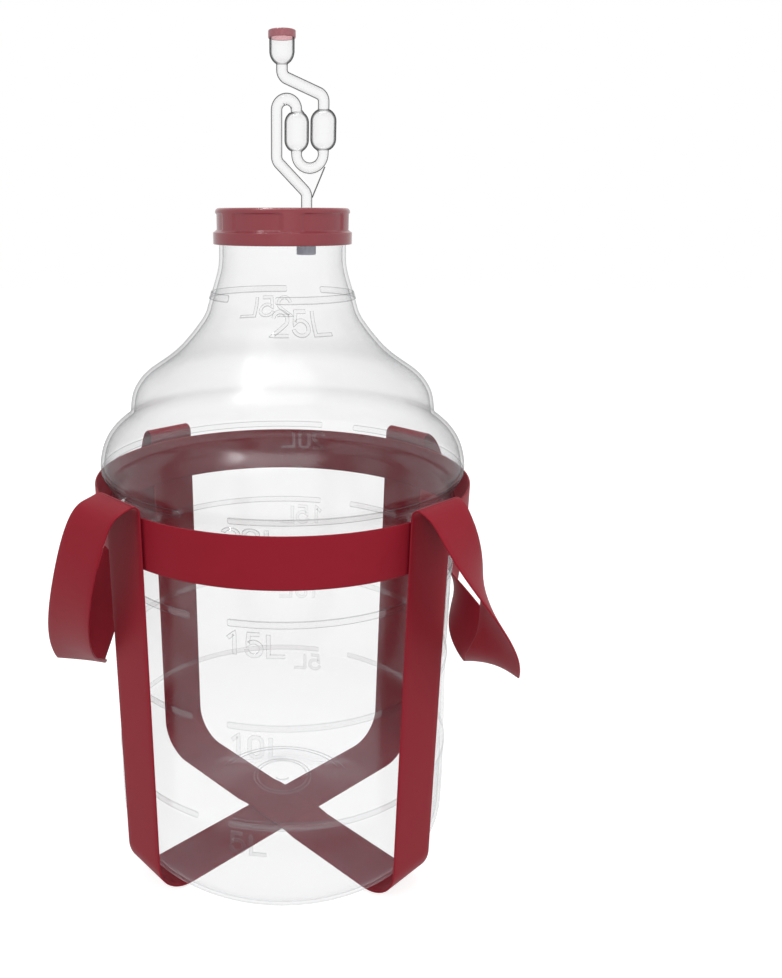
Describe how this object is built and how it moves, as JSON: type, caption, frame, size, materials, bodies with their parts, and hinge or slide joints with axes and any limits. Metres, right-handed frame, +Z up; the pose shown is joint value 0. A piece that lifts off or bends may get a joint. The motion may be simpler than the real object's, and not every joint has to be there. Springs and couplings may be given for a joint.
{
  "type": "plastic demijohn",
  "caption": "Clear plastic demijohn with a stepped shoulder in a strap carrying harness with loop handles, a wide screw cap, a rubber grommet and a bubbler airlock.",
  "frame": {"origin": "centre of the base, on the underside of the harness straps", "axes": "+Z up along the bottle's axis, the front of the graduations towards -Y, the handles at -X and +X"},
  "size_m": [0.4005, 0.3069, 0.6614],
  "materials": {
    "bottle": "clear, smooth",
    "screw_cap": "satin moulded",
    "cap_seal": "matte foam",
    "grommet": "matte",
    "airlock": "clear, smooth",
    "airlock_dust_cap": "satin moulded",
    "waist_band": "smooth woven webbing",
    "cross_strap_a": "smooth woven webbing",
    "cross_strap_b": "smooth woven webbing",
    "left_handle": "smooth woven webbing",
    "right_handle": "smooth woven webbing"
  },
  "bodies": {
    "harness": {"waist_band": "waist_band", "cross_strap_a": "cross_strap_a", "cross_strap_b": "cross_strap_b"},
    "bottle": {"bottle": "bottle"},
    "seal": {"cap_seal": "cap_seal"},
    "cap": {"screw_cap": "screw_cap"},
    "grommet": {"grommet": "grommet"},
    "airlock": {"airlock": "airlock"},
    "dust_cap": {"airlock_dust_cap": "airlock_dust_cap"},
    "left_handle": {"left_handle": "left_handle"},
    "right_handle": {"right_handle": "right_handle"}
  },
  "joints": [
    {"name": "bottle_lift", "type": "slide", "parent": "harness", "child": "bottle", "axis": [0, 0, 1], "range_m": [0, 0.36]},
    {"name": "cap_lift", "type": "slide", "parent": "bottle", "child": "seal", "axis": [0, 0, 1], "range_m": [0, 0.009]},
    {"name": "cap_turn", "type": "hinge", "parent": "seal", "child": "cap", "pos_m": [0, 0, 0.53], "axis": [0, 0, 1], "range_deg": [0, 540]},
    {"name": "airlock_turn", "type": "hinge", "parent": "cap", "child": "grommet", "pos_m": [0.0182, 0, 0.54], "axis": [0, 0, 1], "continuous": true},
    {"name": "airlock_pull", "type": "slide", "parent": "grommet", "child": "airlock", "axis": [0, 0, 1], "range_m": [0, 0.045]},
    {"name": "dust_cap_lift", "type": "slide", "parent": "airlock", "child": "dust_cap", "axis": [0, 0, 1], "range_m": [0, 0.02]},
    {"name": "left_handle_swing", "type": "hinge", "parent": "harness", "child": "left_handle", "pos_m": [-0.126, 0, 0.3452], "axis": [0, 1, 0], "range_deg": [0, 145]},
    {"name": "right_handle_swing", "type": "hinge", "parent": "harness", "child": "right_handle", "pos_m": [0.126, 0, 0.3452], "axis": [0, -1, 0], "range_deg": [0, 145]}
  ],
  "couplings": [
    {"joint": "cap_turn", "follows": "cap_lift", "rad_per_m": 1047.2}
  ]
}
